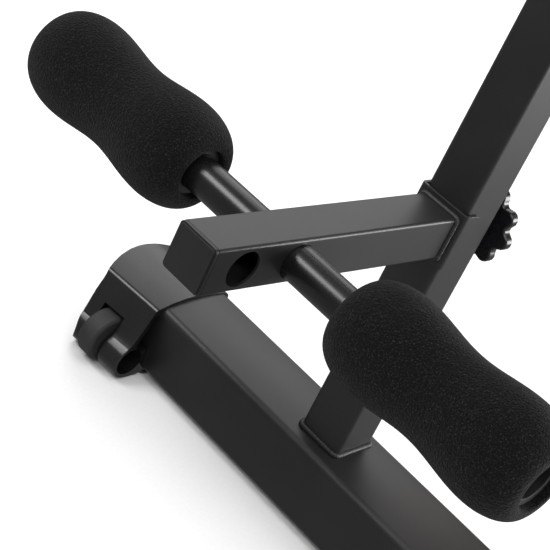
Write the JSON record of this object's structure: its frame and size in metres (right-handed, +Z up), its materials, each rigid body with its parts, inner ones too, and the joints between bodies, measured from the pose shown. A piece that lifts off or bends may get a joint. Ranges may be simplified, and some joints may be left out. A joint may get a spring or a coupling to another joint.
{
  "type": "decline sit up bench",
  "caption": "sloping padded bench on two stabilizers, with a leaning post that holds foam knee rollers and a clamped bar of foam ankle rollers",
  "frame": {"origin": "on the floor under the middle of the bench's bounding box", "axes": "+X to the head end, +Y to the user's left, +Z up"},
  "size_m": [1.395, 0.5404, 0.6966],
  "materials": {
    "steel": "satin black powder coat",
    "zinc": "zinc plated",
    "plastic": "moulded, half gloss",
    "gloss": "moulded, glossy",
    "rubber": "matte",
    "foam": "matte closed-cell foam",
    "vinyl": "grained synthetic leather",
    "wood": "raw plywood"
  },
  "bodies": {
    "frame": {"front_stabilizer": "steel", "front_cap_left": "plastic", "front_cap_right": "plastic", "front_foot_left": "rubber", "front_foot_right": "rubber", "wheel_axle_left": "zinc", "wheel_axle_right": "zinc", "rear_stabilizer": "steel", "rear_cap_left": "plastic", "rear_cap_right": "plastic", "rear_foot_left": "rubber", "rear_foot_right": "rubber", "front_post": "steel", "post_top_cap": "plastic", "ankle_bar": "steel", "ankle_bar_cap": "plastic", "saddle_bracket": "steel", "clamp_stud": "zinc", "knob_washer": "zinc", "knee_tube": "steel", "knee_plug_left": "plastic", "knee_plug_right": "plastic", "main_beam": "steel", "beam_cap_front": "plastic", "beam_cap_rear": "plastic", "gusset_left": "steel", "gusset_right": "steel", "frame_bolt_1": "zinc", "frame_bolt_2": "zinc", "frame_bolt_3": "zinc", "frame_bolt_4": "zinc", "frame_nut_1": "zinc", "frame_nut_2": "zinc", "frame_nut_3": "zinc", "frame_nut_4": "zinc", "rear_riser": "steel", "cross_tube_front": "steel", "cross_tube_rear": "steel", "board": "wood", "pad": "vinyl", "board_bolt_1": "zinc", "board_bolt_2": "zinc", "board_bolt_3": "zinc", "board_bolt_4": "zinc"},
    "wheel_left": {"wheel_left": "rubber"},
    "wheel_right": {"wheel_right": "rubber"},
    "star_knob": {"star_knob": "gloss"},
    "ankle_tube": {"ankle_tube": "steel", "ankle_plug_left": "plastic", "ankle_plug_right": "plastic"},
    "ankle_core_left": {"ankle_core_left": "plastic"},
    "ankle_core_right": {"ankle_core_right": "plastic"},
    "ankle_roller_left": {"ankle_roller_left": "foam"},
    "ankle_roller_right": {"ankle_roller_right": "foam"},
    "knee_roller_left": {"knee_core_left": "plastic", "knee_roller_left": "foam"},
    "knee_roller_right": {"knee_core_right": "plastic", "knee_roller_right": "foam"}
  },
  "joints": [
    {"name": "wheel_left_spin", "type": "hinge", "parent": "frame", "child": "wheel_left", "pos_m": [-0.48308, 0.226, 0.0254], "axis": [0, 1, 0], "continuous": true},
    {"name": "wheel_right_spin", "type": "hinge", "parent": "frame", "child": "wheel_right", "pos_m": [-0.48308, -0.226, 0.0254], "axis": [0, 1, 0], "continuous": true},
    {"name": "clamp_knob_turn", "type": "hinge", "parent": "frame", "child": "star_knob", "pos_m": [-0.36401, 0, 0.29639], "axis": [0.9962, 0, -0.0872], "range_deg": [-90, 720]},
    {"name": "ankle_tube_slide", "type": "slide", "parent": "frame", "child": "ankle_tube", "axis": [0, 1, 0], "range_m": [-0.032, 0.02]},
    {"name": "ankle_roller_left_slide", "type": "slide", "parent": "ankle_tube", "child": "ankle_core_left", "axis": [0, 1, 0], "range_m": [-0.034, 0.06]},
    {"name": "ankle_roller_right_slide", "type": "slide", "parent": "ankle_tube", "child": "ankle_core_right", "axis": [0, 1, 0], "range_m": [-0.06, 0.036]},
    {"name": "ankle_roller_left_spin", "type": "hinge", "parent": "ankle_core_left", "child": "ankle_roller_left", "pos_m": [-0.60628, 0, 0.31759], "axis": [0, 1, 0], "continuous": true},
    {"name": "ankle_roller_right_spin", "type": "hinge", "parent": "ankle_core_right", "child": "ankle_roller_right", "pos_m": [-0.60628, 0, 0.31759], "axis": [0, 1, 0], "continuous": true},
    {"name": "knee_roller_left_spin", "type": "hinge", "parent": "frame", "child": "knee_roller_left", "pos_m": [-0.37029, 0, 0.6548], "axis": [0, 1, 0], "continuous": true},
    {"name": "knee_roller_right_spin", "type": "hinge", "parent": "frame", "child": "knee_roller_right", "pos_m": [-0.37029, 0, 0.6548], "axis": [0, 1, 0], "continuous": true}
  ]
}
